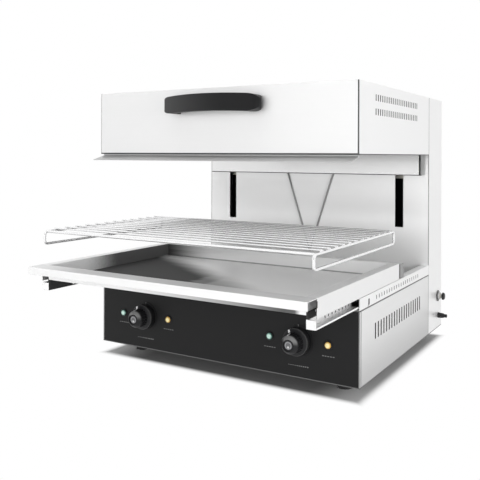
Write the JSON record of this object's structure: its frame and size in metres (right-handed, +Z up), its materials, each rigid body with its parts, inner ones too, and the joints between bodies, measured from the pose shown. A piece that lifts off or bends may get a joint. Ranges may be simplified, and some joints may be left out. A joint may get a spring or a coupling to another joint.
{
  "type": "lift salamander grill",
  "caption": "Electric lift grill: stainless base with knobs, rear column, heated head with a bow handle that slides up and down, pull-out drip pan and a wire rack.",
  "frame": {"origin": "middle of the front left foot's underside, on the plane that the feet stand on", "axes": "+X to the right seen from the front, +Y to the back, +Z up"},
  "size_m": [0.621, 0.7559, 0.571],
  "materials": {
    "stainless": "satin, straight grain",
    "pan_steel": "satin",
    "black_paint": "fine texture, matte",
    "black_plastic": "matte",
    "knob_cap": "satin",
    "chrome_wire": "bright",
    "brace_steel": "satin",
    "rubber": "matte",
    "zinc_steel": "plated",
    "strut_paint": "satin",
    "green_lens": "translucent",
    "amber_lens": "translucent",
    "element_sheath": "heat darkened",
    "reflector_sheet": "bright",
    "ceramic_board": "fibrous",
    "ivory_plastic": "matte",
    "brass": "machined"
  },
  "bodies": {
    "base": {"floor_plate": "stainless", "side_panel_left": "stainless", "side_panel_right": "stainless", "control_panel": "black_paint", "deck_plate": "stainless", "feet": "rubber", "foot_screws": "zinc_steel", "rail_channel_left": "stainless", "rail_channel_right": "stainless", "pan_guides": "stainless", "lamp_bezels": "black_plastic", "lamps_green": "green_lens", "lamps_amber": "amber_lens", "dial_plates": "black_paint", "thermostat_left": "zinc_steel", "thermostat_right": "zinc_steel", "terminal_block": "ivory_plastic", "column_front": "stainless", "column_casing": "stainless", "rear_cover": "stainless", "rear_screws": "zinc_steel", "diagonal_brace": "brace_steel", "guide_rods": "zinc_steel", "guide_brackets": "stainless", "strut_cylinders": "strut_paint", "limit_switch": "ivory_plastic", "switch_ring": "black_plastic", "cable_gland": "black_plastic"},
    "head": {"head_shell": "stainless", "head_front": "stainless", "front_lip": "stainless", "rear_band": "stainless", "reflector": "reflector_sheet", "insulation": "ceramic_board", "element_left": "element_sheath", "element_right": "element_sheath", "element_hangers": "zinc_steel", "element_terminals": "brass", "handle": "black_plastic", "handle_screws": "zinc_steel", "lift_arms": "stainless", "lift_beam": "stainless", "slide_blocks": "ivory_plastic", "strut_rods": "zinc_steel"},
    "tray": {"drip_pan": "pan_steel", "slide_rail_left": "pan_steel", "slide_rail_right": "pan_steel", "rail_rivets": "zinc_steel"},
    "rack": {"wire_rack": "chrome_wire"},
    "knob_left": {"knob_left": "black_plastic", "knob_cap_left": "knob_cap", "shaft_left": "zinc_steel"},
    "knob_right": {"knob_right": "black_plastic", "knob_cap_right": "knob_cap", "shaft_right": "zinc_steel"},
    "reset_button": {"reset_button": "black_plastic"}
  },
  "joints": [
    {"name": "head_lift", "type": "slide", "parent": "base", "child": "head", "axis": [0, 0, 1], "range_m": [-0.125, 0]},
    {"name": "tray_slide", "type": "slide", "parent": "base", "child": "tray", "axis": [0, 1, 0], "range_m": [-0.04, 0.204]},
    {"name": "rack_lift", "type": "slide", "parent": "tray", "child": "rack", "axis": [0, 0, 1], "range_m": [-0.0385, 0]},
    {"name": "knob_left_turn", "type": "hinge", "parent": "base", "child": "knob_left", "pos_m": [0.064, -0.068, 0.095], "axis": [0, 1, 0], "range_deg": [0, 290]},
    {"name": "knob_right_turn", "type": "hinge", "parent": "base", "child": "knob_right", "pos_m": [0.424, -0.068, 0.095], "axis": [0, 1, 0], "range_deg": [0, 290]},
    {"name": "reset_push", "type": "slide", "parent": "base", "child": "reset_button", "axis": [-1, 0, 0], "range_m": [0, 0.003], "stiffness_N_per_m": 300, "springref_m": -0.001}
  ]
}
